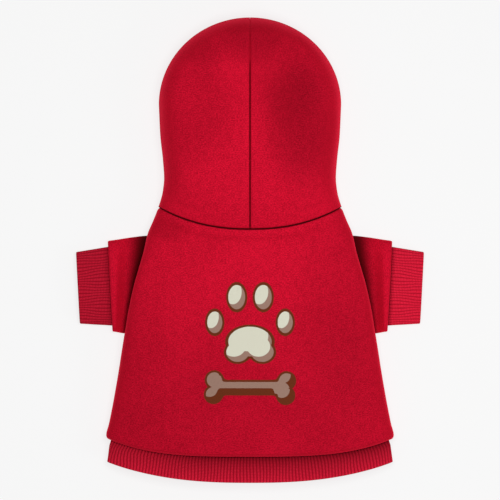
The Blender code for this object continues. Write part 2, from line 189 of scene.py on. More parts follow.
# %% Tables of sections
HOOD_COLUMNS = ("up", "width", "height", "fold", "opening")
HOOD_SECTIONS = np.array([
    (0.00, NECK_HALF_WIDTH / HOOD_HALF_WIDTH, 0.690, 0.30, 0.00),
    (0.06, 0.982, 0.740, 0.32, 0.00),
    (0.15, 0.957, 0.800, 0.34, 0.00),
    (0.28, 0.942, 0.870, 0.35, 0.10),
    (0.45, 0.954, 0.930, 0.35, 0.44),
    (0.70, 0.984, 0.980, 0.34, 0.56),
    (1.00, 1.000, 1.000, 0.33, FACE_SHARE),
])
BODY_COLUMNS = ("down", "flare", "height", "fold", "flat", "chine")
BODY_SECTIONS = np.array([
    (0.020, 0.030, 0.82, 0.38, 0.62, 1.1),
    (0.060, 0.100, 0.89, 0.43, 0.63, 1.3),
    (0.115, 0.202, 0.95, 0.50, 0.65, 1.5),
    (0.197, 0.286, 0.99, 0.57, 0.66, 1.7),
    (0.270, 0.380, 1.00, 0.60, 0.66, 1.7),
    (0.338, 0.466, 1.00, 0.60, 0.67, 1.7),
    (0.444, 0.569, 0.98, 0.57, 0.69, 1.7),
    (0.547, 0.647, 0.95, 0.49, 0.73, 1.5),
    (0.625, 0.704, 0.93, 0.42, 0.77, 1.3),
    (0.704, 0.759, 0.91, 0.38, 0.80, 1.2),
    (0.840, 0.864, 0.88, 0.36, 0.83, 1.1),
    (0.935, 0.948, 0.86, 0.36, 0.85, 1.0),
    (0.985, 1.000, 0.83, 0.36, 0.86, 1.0),
    (1.000, 0.984, 0.75, 0.35, 0.86, 1.0),
])


def read_table(table, columns, at, column):
    """A column of a table at a place along its first column, on a smooth curve through the rows."""
    places, values = table[:, 0], table[:, columns.index(column)]
    steps = np.diff(places)
    rates = np.diff(values) / steps
    before, after = rates[:-1], rates[1:]
    both = np.where(before * after > 0, before + after, 1.0)
    inner = np.where(before * after > 0, 2 * before * after / both, 0.0)
    slopes = np.concatenate(([rates[0]], inner, [rates[-1]]))
    at = min(max(at, places[0]), places[-1])
    i = min(int(np.searchsorted(places, at, side="right")) - 1, len(steps) - 1)
    t = (at - places[i]) / steps[i]
    start = (1 + 2 * t) * (1 - t) ** 2 * values[i] + t * (1 - t) ** 2 * steps[i] * slopes[i]
    end = t * t * (3 - 2 * t) * values[i + 1] - t * t * (1 - t) * steps[i] * slopes[i + 1]
    return float(start + end)


def hood_section(up, column):
    return read_table(HOOD_SECTIONS, HOOD_COLUMNS, up, column)


def body_section(down, column):
    return read_table(BODY_SECTIONS, BODY_COLUMNS, down, column)


def body_width(down):
    return NECK_HALF_WIDTH + (BODY_HALF_WIDTH - NECK_HALF_WIDTH) * body_section(down, "flare")


print("half width at the armholes:", round(1000 * body_width(0.3)), "mm")

# %% [markdown]
# A line of cloth is first drawn with many points and then dealt out again, so the mesh has nearly
# square faces and a knit pattern isn't stretched. Near a seam the steps are shorter, because a
# seam's groove is only two or three millimetres wide.

# %% Lines of cloth
FINE = 240
CROWN_ROUNDNESS = 0.80
BELLY_CURVE = 3.0


def spread(count, crowd_start=0.0, crowd_end=0.0):
    """Shares from 0 to 1, closer together at the start or the end."""
    start = np.linspace(0.0, 1.0, count) ** (1 + crowd_start)
    return 1 - (1 - start) ** (1 + crowd_end)


def deal_out(line, shares):
    """Points at the given shares of a line's length, and their distances along it."""
    steps = np.linalg.norm(np.diff(line, axis=0), axis=1)
    length = np.concatenate(([0.0], np.cumsum(steps)))
    at = shares * length[-1]
    return np.stack([np.interp(at, length, line[:, k]) for k in range(3)], axis=1), at


def tube_half(width, height, fold, flat, chine, lift=0.0):
    """Half a lying tube as (x, z), in three parts: its top, its under side and its bottom."""
    angle = np.linspace(0.0, math.pi / 2, FINE)
    sine, cosine = np.sin(angle), np.maximum(np.cos(angle), 0.0)
    top = np.stack([width * sine ** CROWN_ROUNDNESS,
                    fold + (height - fold) * cosine ** CROWN_ROUNDNESS], axis=1)
    under = np.stack([flat + (width - flat) * cosine ** chine,
                      lift + (fold - lift) * (1 - sine ** chine)], axis=1)
    bottom = np.stack([np.linspace(flat, 0.0, FINE // 2), np.full(FINE // 2, lift)], axis=1)
    return top, under[1:], bottom[1:]


def edge_y(centre_y, rise, curve, share, under):
    """Where a curved hem lies at a share of the half width, on the back or under the belly."""
    below = centre_y + rise + BELLY_HEM_RISE * (1 - np.abs(share) ** BELLY_CURVE)
    return np.where(under, below, centre_y + rise * np.abs(share) ** curve)


def inwards(ring, plane):
    """For each point of a closed ring, the unit direction to its inside, in the plane's axes."""
    along = np.roll(ring, -1, axis=0) - np.roll(ring, 1, axis=0)
    first, second = along[:, plane[0]], along[:, plane[1]]
    length = np.hypot(first, second)
    a, b = ring[:, plane[0]], ring[:, plane[1]]
    turn = np.sign((a * np.roll(b, -1) - np.roll(a, -1) * b).sum())
    direction = np.zeros_like(ring)
    direction[:, plane[0]] = -second / length * turn
    direction[:, plane[1]] = first / length * turn
    return direction


def curl(distance, radius, depth):
    """How far a sewn edge has rolled in at a distance from its seam."""
    return depth * np.clip(1 - distance / radius, 0.0, 1.0) ** 2


print("one line has", FINE * 2 + FINE // 2, "points before it is dealt out")

# %% [markdown]
# A sheet of cloth starts as a flat grid, which already has a UV map. Its points are then moved,
# row by row, to where the cloth lies. The wall comes from Solidify, which grows inwards from the
# surface that we shaped, and a small Bevel rounds the cut edges, as a folded seam edge is round.

# %% Making a sheet
EDGE_ROUND = 0.0007
EDGE_ANGLE = math.radians(50)
MERGE_DISTANCE = 0.00002


def only_select(piece):
    bpy.ops.object.select_all(action="DESELECT")
    piece.select_set(True)
    bpy.context.view_layer.objects.active = piece


def edit_all(piece, *operators):
    """Run mesh operators on the whole mesh of a piece."""
    only_select(piece)
    bpy.ops.object.mode_set(mode="EDIT")
    bpy.ops.mesh.select_all(action="SELECT")
    for operator in operators:
        operator()
    bpy.ops.object.mode_set(mode="OBJECT")


def apply_modifier(piece, kind, **settings):
    """Add a modifier with its settings and apply it at once."""
    only_select(piece)
    modifier = piece.modifiers.new(kind.lower(), kind)
    for key, value in settings.items():
        setattr(modifier, key, value)
    bpy.ops.object.modifier_apply(modifier=modifier.name)


def sheet_from_grid(name, points, across, along, flip=False):
    """A grid primitive with its points at points[row, column] and a UV map in metres."""
    rows, columns = points.shape[:2]
    bpy.ops.object.select_all(action="DESELECT")
    bpy.ops.mesh.primitive_grid_add(x_subdivisions=columns - 1, y_subdivisions=rows - 1, size=1.0)
    piece = bpy.context.object
    piece.name = name
    mesh = piece.data
    flat = np.empty(len(mesh.vertices) * 3)
    mesh.vertices.foreach_get("co", flat)
    flat = flat.reshape(-1, 3)
    column = np.rint((flat[:, 0] + 0.5) * (columns - 1)).astype(int)
    row = np.rint((flat[:, 1] + 0.5) * (rows - 1)).astype(int)
    mesh.vertices.foreach_set("co", points[row, column].reshape(-1))
    corners = np.empty(len(mesh.loops), dtype=np.int64)
    mesh.loops.foreach_get("vertex_index", corners)
    cloth_map = np.stack([across[row, column][corners], along[row, column][corners]], axis=1)
    mesh.uv_layers.active.data.foreach_set("uv", cloth_map.astype(np.float32).reshape(-1))
    mesh.update()
    if flip:
        edit_all(piece, bpy.ops.mesh.flip_normals)
    return piece


def merge_edges(piece):
    """Join the rims of a grid that has been rolled into a tube."""
    edit_all(piece, lambda: bpy.ops.mesh.remove_doubles(threshold=MERGE_DISTANCE))


def finish_wall(piece):
    """Give a sheet its wall, round its cut edges and shade it smooth."""
    apply_modifier(piece, "SOLIDIFY", thickness=CLOTH, offset=-1.0, material_offset=1)
    apply_modifier(piece, "BEVEL", width=EDGE_ROUND, segments=3, limit_method="ANGLE",
                   angle_limit=EDGE_ANGLE)
    piece.data.shade_smooth()


def cut_size(points):
    """The area of a grid of points, and the lengths of its longest row and column."""
    right, down = np.diff(points, axis=1), np.diff(points, axis=0)
    area = np.linalg.norm(np.cross(right[:-1], down[:, :-1]), axis=2).sum()
    across = np.linalg.norm(right, axis=2).sum(axis=1).max()
    along = np.linalg.norm(down, axis=2).sum(axis=0).max()
    return float(area), float(across), float(along)


def declare_cloth(piece, points):
    """Attach a piece of cloth to the body and give the lengths of its cut."""
    area, across, along = cut_size(points)
    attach(piece, BODY)
    return across, along


def lay_cloth(piece, points, node):
    """Attach a piece of cloth to the body, hide the solid that it stands for and print its sizes.
    """
    across, along = declare_cloth(piece, points)
    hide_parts(node)
    low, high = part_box(node)
    corners = np.array([v.co for v in piece.data.vertices])
    proud = max(max(low - Vector(corners.min(axis=0))), max(Vector(corners.max(axis=0)) - high))
    print(piece.name, len(piece.data.polygons), "faces, cut", round(across * 1000), "x",
          round(along * 1000), "mm,", round(1000 * proud, 1), "mm proud of its solid's box")


# %% [markdown]
# Soft hollows and swells are moves of a few millimetres that a sculptor would brush in. Each dent
# is a smooth bowl with a place, a reach and a depth, as shares of the panel. A little noise on
# top, with waves as long as a finger, keeps the cloth from looking pressed.

# %% Dents and swells
HOOD_DENTS = (
    (0.50, 0.62, 0.16, 0.24, 0.085),
    (-0.62, 0.66, 0.22, 0.26, 0.055),
    (-0.30, 0.30, 0.25, 0.12, 0.030),
    (-0.28, 0.84, 0.16, 0.08, 0.030),
)
BODY_DENTS = (
    (-0.45, -0.70, 0.30, 0.22, 0.060),
    (0.55, -0.34, 0.20, 0.26, 0.055),
    (0.10, -0.12, 0.30, 0.07, 0.035),
    (-0.62, -0.14, 0.16, 0.07, 0.040),
)
SWELL_HEIGHT = 0.0013
SWELL_LENGTH = 0.055
SWELL_GAIN = 1.6


def dent_depth(dents, across, along):
    """The depth of all dents at places across and along, as a share of the height."""
    depth = 0.0
    for x, y, reach_x, reach_y, share in dents:
        depth = depth + share * np.exp(-((across - x) / reach_x) ** 2
                                       - ((along - y) / reach_y) ** 2)
    return depth


def swells(points):
    """Smooth noise at each point of a grid, the same for neighbouring pieces."""
    values = [noise.noise(Vector(p) / SWELL_LENGTH) for p in points.reshape(-1, 3)]
    return SWELL_HEIGHT * SWELL_GAIN * np.array(values).reshape(points.shape[:-1])


def smooth_share(value, low, high):
    """From 0 below low to 1 above high."""
    t = np.clip((value - low) / (high - low), 0.0, 1.0)
    return t * t * (3 - 2 * t)


# %% [markdown]
# The hood is two panels that meet at a seam over the middle of the head. Below, lines run across
# each panel from that seam. Round the crown they swing like the ribs of a fan, so that the last
# one lies along the seam itself, over the top and down to the opening for the face.

# %% The hood's panels
NECK_CURVE = 2.3
TURN_SHARE = 0.38
FAN_SHARE = 0.50
CHEEK_ROWS = 90
CROWN_ROWS = 90
HOOD_POINTS_ACROSS = 130
HOOD_VALLEY = 0.0010
HOOD_VALLEY_WIDTH = 0.0060
SEAM_CURL = 0.0028
SEAM_CURL_DEPTH = 0.0012
NECK_EDGE_CURL = 0.0024
NECK_EDGE_DEPTH = 0.0012
HOOD_UPPER = (0.35, 0.75)
VALLEY_FROM_NECK = (0.002, 0.014)
CURL_FROM_FLOOR = (0.0, 0.2)


def hood_line(up, turn):
    """One line over the right panel with many points, from the centre seam to the face opening."""
    angle = turn * math.pi / 2
    width = HOOD_HALF_WIDTH * hood_section(up, "width")
    height = HOOD_HEIGHT * hood_section(up, "height")
    fold_z = HOOD_HEIGHT * hood_section(up, "fold")
    side_y = NECK_SIDE_Y + up * (CROWN_CENTRE_Y - NECK_SIDE_Y)
    fold = np.array([width * math.cos(angle), side_y + CROWN_LENGTH * math.sin(angle), fold_z])
    seam_y = NECK_Y + up * (CROWN_CENTRE_Y - NECK_Y) + FAN_SHARE * CROWN_LENGTH * math.sin(angle)
    rim_y = side_y + THROAT_RISE * (1 - up) + CROWN_LENGTH * FACE_SHARE * math.sin(angle)
    rim = np.array([fold[0] * hood_section(up, "opening"), rim_y, 0.0])
    curve = NECK_CURVE + (1 - NECK_CURVE) * up
    bend = np.linspace(0.0, math.pi / 2, FINE)
    out = np.sin(bend) ** CROWN_ROUNDNESS
    rise = np.maximum(np.cos(bend), 0.0) ** CROWN_ROUNDNESS
    top = np.stack([fold[0] * out, seam_y + (fold[1] - seam_y) * out ** curve,
                    fold_z + (height - fold_z) * rise], axis=1)
    turned = fold + (rim - fold) * TURN_SHARE
    share = np.maximum(np.cos(bend[1:]), 0.0)[:, None]
    under = turned + (fold - turned) * share
    under[:, 2] = fold_z * (1 - np.sin(bend[1:]))
    turned[2] = 0.0
    flat = turned + (rim - turned) * np.linspace(0.0, 1.0, FINE // 2)[1:, None]
    return np.concatenate([top, under, flat])


def hood_surface():
    """Points, distances across and distances along for the right panel, rows from neck to crown."""
    cheek = [(up, 0.0) for up in spread(CHEEK_ROWS, crowd_start=0.35)]
    crown = [(1.0, turn) for turn in spread(CROWN_ROWS, crowd_end=0.35)[1:]]
    shares = spread(HOOD_POINTS_ACROSS, crowd_start=0.25)
    rows, across, along = [], [], []
    distance, last_middle = 0.0, None
    for up, turn in cheek + crown:
        line, at = deal_out(hood_line(up, turn), shares)
        middle = line[HOOD_POINTS_ACROSS // 3]
        if last_middle is not None:
            distance += float(np.linalg.norm(middle - last_middle))
        last_middle = middle
        rows.append(line)
        across.append(at)
        along.append(np.full(len(shares), distance))
    return np.array(rows), np.array(across), np.array(along)


def shape_hood(points, along, side):
    """The right panel's points, mirrored for the left one, with dents, swells and rolled edges."""
    shaped = points.copy()
    x, y, z = points[..., 0], points[..., 1], points[..., 2]
    upper = smooth_share(z / HOOD_HEIGHT, *HOOD_UPPER)
    dent = HOOD_HEIGHT * dent_depth(HOOD_DENTS, side * x / HOOD_HALF_WIDTH,
                                    (y - NECK_Y) / (CROWN_Y - NECK_Y))
    away_from_neck = smooth_share(along, *VALLEY_FROM_NECK)
    valley = HOOD_VALLEY * np.exp(-(x / HOOD_VALLEY_WIDTH) ** 2) * away_from_neck
    mirrored_place = points * np.array([side, 1.0, 1.0])
    sunk = (dent + valley - swells(mirrored_place)) * upper
    off_floor = smooth_share(z / HOOD_HEIGHT, *CURL_FROM_FLOOR)
    roll = curl(x, SEAM_CURL, SEAM_CURL_DEPTH) * off_floor
    roll = roll + curl(along, NECK_EDGE_CURL, NECK_EDGE_DEPTH) * upper
    shaped[..., 2] = z - sunk - roll
    shaped[..., 0] = side * np.maximum(x, SEAM_GAP / 2)
    return shaped


hood_points, hood_across, hood_along = hood_surface()
hood_pieces = {}
hood_points_shaped = {}
for word, side in (("left", -1), ("right", 1)):
    points = shape_hood(hood_points, hood_along, side)
    hood_points_shaped[word] = points
    hood_pieces[word] = sheet_from_grid("hood_" + word + "_cloth", points, hood_across,
                                        hood_along, side < 0)
    finish_wall(hood_pieces[word])
    lay_cloth(hood_pieces[word], points, "hood_" + word)

# %% [markdown]
# Inside, the two panels' seam allowances are pressed open and lie under the seam, from the neck
# over the crown to the face opening. From above they close the narrow gap between the panels.

# %% The seam allowance in the hood
ALLOWANCE_WIDTH = 0.0052
ALLOWANCE_DEPTH = 0.0040
ALLOWANCE_WALL = 0.0008


def seam_allowance(points):
    """A narrow band under the centre seam, rows along it."""
    seam = np.concatenate([points[:, 0], points[-1, 1:]])
    seam[:, 0] = 0.0
    keep = np.concatenate(([True], np.linalg.norm(np.diff(seam, axis=0), axis=1) > 1e-5))
    seam = seam[keep]
    length = np.concatenate(([0.0], np.cumsum(np.linalg.norm(np.diff(seam, axis=0), axis=1))))
    seam, at = deal_out(seam, np.linspace(0.0, 1.0, 180))
    forward = np.gradient(seam, axis=0)
    inner = np.stack([np.zeros(len(seam)), forward[:, 2], -forward[:, 1]], axis=1)
    inner /= np.linalg.norm(inner, axis=1)[:, None]
    low = seam + inner * ALLOWANCE_DEPTH
    across = np.linspace(-ALLOWANCE_WIDTH, ALLOWANCE_WIDTH, 9)
    band = np.repeat(low[:, None, :], len(across), axis=1)
    band[:, :, 0] = across
    return band, np.broadcast_to(across, band.shape[:2]), \
        np.broadcast_to(at[:, None], band.shape[:2])


allowance_points, allowance_across, allowance_along = seam_allowance(hood_points_shaped["right"])
allowance = sheet_from_grid("hood_seam_allowance", allowance_points, allowance_across,
                            allowance_along)
apply_modifier(allowance, "SOLIDIFY", thickness=ALLOWANCE_WALL, offset=-1.0)
allowance.data.shade_smooth()
print("seam allowance (mm):", np.round(1000 * np.array(
    declare_cloth(allowance, allowance_points))))

# %% [markdown]
# The body is one back panel, which turns under at both sides, and a belly panel on the floor.
# Both come from the same rings, read from the table of sections, so their edges meet. At the neck
# the cloth rolls in and goes on under the hood's edge, which makes the dark groove of that seam.

# %% The body's rings
HEM_CURVE = 3.3
BODY_ROWS = 180
BACK_POINTS_ACROSS = 240
BELLY_POINTS_ACROSS = 70
BELLY_SEAM_SHARE = 0.08
NECK_LAP_ROWS = 4
NECK_CURL = 0.0046
HEM_CURL = 0.0026
HEM_CURL_DEPTH = 0.0007
NECK_HEIGHT_SHARE = HOOD_SECTIONS[0, 2] * HOOD_HEIGHT / BODY_HEIGHT
NECK_FOLD_SHARE = HOOD_SECTIONS[0, 3] * HOOD_HEIGHT / BODY_HEIGHT
NECK_SECTION = (0.0, 0.0, NECK_HEIGHT_SHARE, NECK_FOLD_SHARE, 0.62, 1.0)
BACK_UPPER = (0.55, 0.85)
BODY_SECTIONS = np.vstack([NECK_SECTION, BODY_SECTIONS])


def body_ring(down):
    """A closed ring of the body from its top centre round the right side, and its seam point."""
    width = body_width(down)
    height = BODY_HEIGHT * body_section(down, "height")
    fold = BODY_HEIGHT * body_section(down, "fold")
    flat = width * body_section(down, "flat")
    parts = tube_half(width, height, fold, flat, body_section(down, "chine"))
    half = np.concatenate(parts)
    under = np.arange(len(half)) >= len(parts[0])
    share = half[:, 0] / width
    neck_y = np.where(under, NECK_SIDE_Y + THROAT_RISE * (1 - share),
                      NECK_Y + NECK_RISE * share ** NECK_CURVE)
    hem_y = edge_y(HEM_Y, HEM_RISE, HEM_CURVE, share, under)
    line = np.stack([half[:, 0], neck_y + down * (hem_y - neck_y), half[:, 1]], axis=1)
    ring = np.concatenate([line, (line * np.array([-1.0, 1.0, 1.0]))[-2:0:-1]])
    seam = len(parts[0]) + len(parts[1]) + int(BELLY_SEAM_SHARE * len(parts[2]))
    return ring, seam


def body_rows():
    """Each row of the body as how far down it is and how far beyond the neck seam it has gone."""
    rows = [(1.0 - t, 0.0) for t in spread(BODY_ROWS, crowd_start=0.25, crowd_end=0.25)]
    return rows + [(0.0, LAP * (i + 1) / NECK_LAP_ROWS) for i in range(NECK_LAP_ROWS)]


def body_surface():
    """Grids for the back and the belly panel, rows from the hem to the neck."""
    along, grids = [], [([], []), ([], [])]
    for down, beyond in body_rows():
        ring, seam = body_ring(down)
        from_neck, from_hem = down * SIDE_LENGTH, (1 - down) * SIDE_LENGTH
        inset = curl(from_neck, NECK_CURL, LAP_DEPTH) + curl(from_hem, HEM_CURL, HEM_CURL_DEPTH)
        ring = ring + inwards(ring, (0, 2)) * inset
        ring[:, 1] += beyond
        over = np.concatenate([ring[-seam:], ring[:seam + 1]])
        under = ring[seam:len(ring) - seam + 1].copy()
        under[:, 0] *= 1 - SEAM_GAP / abs(under[0, 0])
        lines = ((over, BACK_POINTS_ACROSS), (under, BELLY_POINTS_ACROSS))
        for (rows, places), (line, count) in zip(grids, lines):
            row, at = deal_out(line, np.linspace(0.0, 1.0, count))
            rows.append(row)
            places.append(at - at[-1] / 2)
        along.append(beyond - from_neck)
    along = np.array(along)[:, None]
    return [(np.array(points), np.array(at), np.broadcast_to(along, np.array(at).shape))
            for points, at in grids]


def shape_back(points):
    """The back's points with its dents and swells."""
    shaped = points.copy()
    x, y, z = points[..., 0], points[..., 1], points[..., 2]
    upper = smooth_share(z / BODY_HEIGHT, *BACK_UPPER)
    width = np.abs(x).max(axis=1, keepdims=True)
    dent = BODY_HEIGHT * dent_depth(BODY_DENTS, x / width, (y - NECK_Y) / (NECK_Y - HEM_Y))
    shaped[..., 2] = z - (dent - swells(points)) * upper
    return shaped


back_grid, belly_grid = body_surface()
back_points = shape_back(back_grid[0])
back_cloth = sheet_from_grid("back_cloth", back_points, *back_grid[1:])
finish_wall(back_cloth)
lay_cloth(back_cloth, back_points, "back_panel")
belly_cloth = sheet_from_grid("belly_cloth", *belly_grid)
finish_wall(belly_cloth)
lay_cloth(belly_cloth, belly_grid[0], "belly_panel")

# %% [markdown]
# Each sleeve is a short flat tube. Its root goes in through an armhole in the turned-under side
# of the back panel, where it follows that side's slope, and its outer edge rolls in to the cuff.

# %% The sleeves
ARMHOLE_Y = NECK_Y - 0.0629
ARMHOLE_HALF_WIDTH = 0.0537
ARMHOLE_HEIGHT = 0.0135
ARMHOLE_ABOVE_FLOOR = 0.0035
ARMHOLE_INSIDE = 0.0060
ARMHOLE_OUTSIDE = 0.0020
SLEEVE_HEIGHT = 0.0215
SLEEVE_LENGTH = 0.0262
SLEEVE_DROOP = math.radians(3.0)
SLEEVE_FOLD_SHARE = 0.46
SLEEVE_FLAT_SHARE = 0.86
CUTTER_REACH = 0.012
CUFF_LENGTH = 0.0355
CUFF_ROOT_HALF_WIDTH = 0.0434
CUFF_END_HALF_WIDTH = 0.0395
CUFF_END_HEIGHT = 0.0150
SLEEVE_REACH = body_width((NECK_SIDE_Y - ARMHOLE_Y) / SIDE_LENGTH) + SLEEVE_LENGTH
SLEEVE_COLUMNS = ("reach", "width", "height", "lift")
SLEEVE_SECTIONS = np.array([
    (0.00, 1.000, (ARMHOLE_ABOVE_FLOOR + ARMHOLE_HEIGHT) / SLEEVE_HEIGHT,
     ARMHOLE_ABOVE_FLOOR / SLEEVE_HEIGHT),
    (0.30, 0.995, 0.70, 0.06),
    (0.52, 0.980, 0.66, 0.00),
    (0.88, 0.940, 1.00, 0.00),
    (0.97, 0.932, 0.97, 0.01),
    (1.00, 0.918, 0.90, 0.03),
])
SLEEVE_POINTS_ROUND = 160
SLEEVE_ROWS = 44
SLEEVE_ROOT_ROWS = 5


def sleeve_ring(half_width, height, lift):
    """A closed sleeve section, dealt out evenly from its top centre: across, z and distances."""
    fold = lift + SLEEVE_FOLD_SHARE * (height - lift)
    half = np.concatenate(tube_half(half_width, height, fold, SLEEVE_FLAT_SHARE * half_width,
                                    1.0, lift))
    ring = np.concatenate([half, (half * np.array([-1.0, 1.0]))[-2::-1]])
    dealt, at = deal_out(np.insert(ring, 1, 0.0, axis=1),
                         np.linspace(0.0, 1.0, SLEEVE_POINTS_ROUND + 1))
    return dealt[:, 0], dealt[:, 2], at


def body_side_x(y, z):
    """How far out the turned-under side of the body is, at a place below its fold."""
    down = (NECK_SIDE_Y - y) / SIDE_LENGTH
    width = body_width(down)
    fold = BODY_HEIGHT * body_section(down, "fold")
    flat = width * body_section(down, "flat")
    chine = body_section(down, "chine")
    sine = (1 - min(z / fold, 1.0)) ** (1 / chine)
    return flat + (width - flat) * math.sqrt(max(1 - sine * sine, 0.0)) ** chine


def sleeve_place(out, across, z, side):
    """Points of a sleeve from their distance out and across its own width."""
    x = out + math.sin(SLEEVE_DROOP) * across
    y = ARMHOLE_Y - math.tan(SLEEVE_DROOP) * (out - SLEEVE_REACH) + math.cos(SLEEVE_DROOP) * across
    return np.stack([side * x, y, z], axis=-1)


def armhole_line(side, larger=0.0):
    """The armhole's outline, across and z, and how far out the body's side is at each point."""
    across, z, _ = sleeve_ring(ARMHOLE_HALF_WIDTH + larger,
                               ARMHOLE_ABOVE_FLOOR + ARMHOLE_HEIGHT + larger,
                               ARMHOLE_ABOVE_FLOOR - larger)
    wall = np.array([body_side_x(ARMHOLE_Y + a, b) for a, b in zip(across, z)])
    return across, z, wall - math.sin(SLEEVE_DROOP) * across


def sleeve_surface(side):
    """A grid for one sleeve, rows from its root inside the body to its cuff seam."""
    across, z, wall = armhole_line(side)
    rows = [sleeve_place(wall + shift, across, z, side)
            for shift in np.linspace(-ARMHOLE_INSIDE, 0.0, SLEEVE_ROOT_ROWS)]
    start = wall + ARMHOLE_OUTSIDE
    for reach in spread(SLEEVE_ROWS, crowd_end=0.4):
        wide, high, lift = (read_table(SLEEVE_SECTIONS, SLEEVE_COLUMNS, reach, column)
                            for column in SLEEVE_COLUMNS[1:])
        across, z, round_at = sleeve_ring(ARMHOLE_HALF_WIDTH * wide, SLEEVE_HEIGHT * high,
                                          SLEEVE_HEIGHT * lift)
        rows.append(sleeve_place(start + reach * (SLEEVE_REACH - start), across, z, side))
    points = np.array(rows)
    steps = np.linalg.norm(np.diff(points, axis=0), axis=2).mean(axis=1)
    along = np.concatenate(([0.0], np.cumsum(steps)))[:, None]
    shape = points.shape[:2]
    return points, np.broadcast_to(round_at, shape), np.broadcast_to(along, shape)


def cut_armhole(side):
    """Cut the hole for a sleeve in the back panel."""
    across, z, wall = armhole_line(side, larger=SEAM_GAP)
    bpy.ops.mesh.primitive_cylinder_add(vertices=SLEEVE_POINTS_ROUND, depth=1.0, radius=1.0)
    cutter = bpy.context.object
    cutter.name = "armhole_cutter"
    for vertex in cutter.data.vertices:
        i = vertex.index // 2 if side > 0 else SLEEVE_POINTS_ROUND - 1 - vertex.index // 2
        reach = CUTTER_REACH if vertex.co.z > 0 else -CUTTER_REACH
        vertex.co = Vector(sleeve_place(wall[i] + reach, across[i], z[i], side))
    edit_all(cutter, bpy.ops.mesh.normals_make_consistent)
    apply_modifier(back_cloth, "BOOLEAN", object=cutter, operation="DIFFERENCE", solver="EXACT")
    bpy.data.objects.remove(cutter, do_unlink=True)


sleeve_pieces = {}
for word, side in (("left", -1), ("right", 1)):
    points, across, along = sleeve_surface(side)
    sleeve = sheet_from_grid("sleeve_" + word + "_cloth", points, across, along, side > 0)
    merge_edges(sleeve)
    finish_wall(sleeve)
    lay_cloth(sleeve, points, "sleeve_" + word)
    cut_armhole(side)
    sleeve_pieces[word] = sleeve

# %% [markdown]
# Rib knit stands up in ridges, and here the ridges are modelled: eight points across each rib.
# A cuff or hem band is knitted double and folded at its free edge, so its section is a long loop:
# an outer layer, a round fold without ribs and an inner layer. The grid is rolled up both ways.
# Its UV map counts the ribs: their width in it is always the pitch, also where a rib wanders.

# %% Making rib knit
POINTS_PER_RIB = 8
RIB_GROOVE = 0.20
RIB_WALL = 0.0026
OUTER_POINTS = 28
FOLD_POINTS = 7
INNER_POINTS = 12


def even_ring(ring, count):
    """A closed ring dealt out evenly, ending on its first point."""
    closed = np.concatenate([ring, ring[:1]])
    return deal_out(closed, np.linspace(0.0, 1.0, count + 1))


def rib_profile(phase):
    """How deep the knit is at a phase of its rib: 0 on a ridge and 1 in the groove."""
    t = np.abs(phase % 1.0 - 0.5) * 2
    return np.exp(-((1 - t) / (2 * RIB_GROOVE)) ** 2)


def between(rings, places, at):
    """The ring at a place between the key rings."""
    i = min(max(int(np.searchsorted(places, at, side="right")) - 1, 0), len(places) - 2)
    return rings[i] + (rings[i + 1] - rings[i]) * (at - places[i]) / (places[i + 1] - places[i])


def inwards_closed(ring, plane):
    direction = inwards(ring[:-1], plane)
    return np.concatenate([direction, direction[:1]])


def rib_section(length):
    """The loop of a doubled band as (place along it, depth below its surface, ribs' direction)."""
    radius = RIB_WALL / 2
    turns = np.linspace(0.0, math.pi, FOLD_POINTS + 2)[1:-1]
    outer = [(place, 0.0, 1.0) for place in np.linspace(0.0, length - radius, OUTER_POINTS)]
    fold = [(length - radius + radius * math.sin(turn), radius * (1 - math.cos(turn)),
             math.cos(turn)) for turn in turns]
    inner = [(place, RIB_WALL, -1.0)
             for place in np.linspace(length - radius, 0.0, INNER_POINTS)]
    return outer + fold + inner + outer[:1]


def rib_tube(name, key_rings, places, pitch, groove_depth, plane, fade, wave):
    """A doubled tube of rib knit through a few rings at places along it, root first."""
    length = places[-1]
    round_length = np.linalg.norm(np.diff(key_rings[-1], axis=0), axis=1).sum()
    ribs = int(round(round_length / pitch))
    dealt = [even_ring(ring, ribs * POINTS_PER_RIB) for ring in key_rings]
    rings, round_at = [ring for ring, _ in dealt], dealt[-1][1]
    rib_share = round_at / round_at[-1]
    rows, across, along, distance = [], [], [], 0.0
    for place, depth, facing in rib_section(length):
        ring = between(rings, places, place)
        shown = smooth_share(length - place, fade * 0.3, fade)
        phase = rib_share * ribs + wave(rib_share, place)
        groove = groove_depth * rib_profile(phase) * shown
        across.append(phase * pitch)
        row = ring + inwards_closed(ring, plane) * (depth + groove * facing)[:, None]
        distance += float(np.linalg.norm(row[0] - rows[-1][0])) if rows else 0.0
        rows.append(row)
        along.append(distance)
    points = np.array(rows)
    piece = sheet_from_grid(name, points, np.array(across),
                            np.broadcast_to(np.array(along)[:, None], points.shape[:2]))
    merge_edges(piece)
    edit_all(piece, lambda: bpy.ops.mesh.normals_make_consistent(inside=False))
    piece.data.shade_smooth()
    lay_cloth(piece, points[:OUTER_POINTS], name.replace("_knit", ""))
    return piece


# %% [markdown]
# A cuff narrows from the sleeve's edge to its own folded edge. Its root is hidden in the sleeve.

# %% The cuffs
CUFF_RIB_PITCH = 0.0031
CUFF_GROOVE = 0.0003
CUFF_FADE = 0.0050
CUFF_WAVE = 0.36
CUFF_WAVES = 6
CUFF_WAVE_START = 1.3
CUFF_WAVE_LENGTH = 0.008


def moved_inwards(ring, distance, plane):
    return ring + inwards(ring, plane) * distance


def cuff_wave(rib_share, place):
    """How many ribs' widths a cuff's ribs wander to the side."""
    phase = rib_share * math.tau * CUFF_WAVES + CUFF_WAVE_START
    return CUFF_WAVE * np.sin(phase) * math.sin(place / CUFF_WAVE_LENGTH)


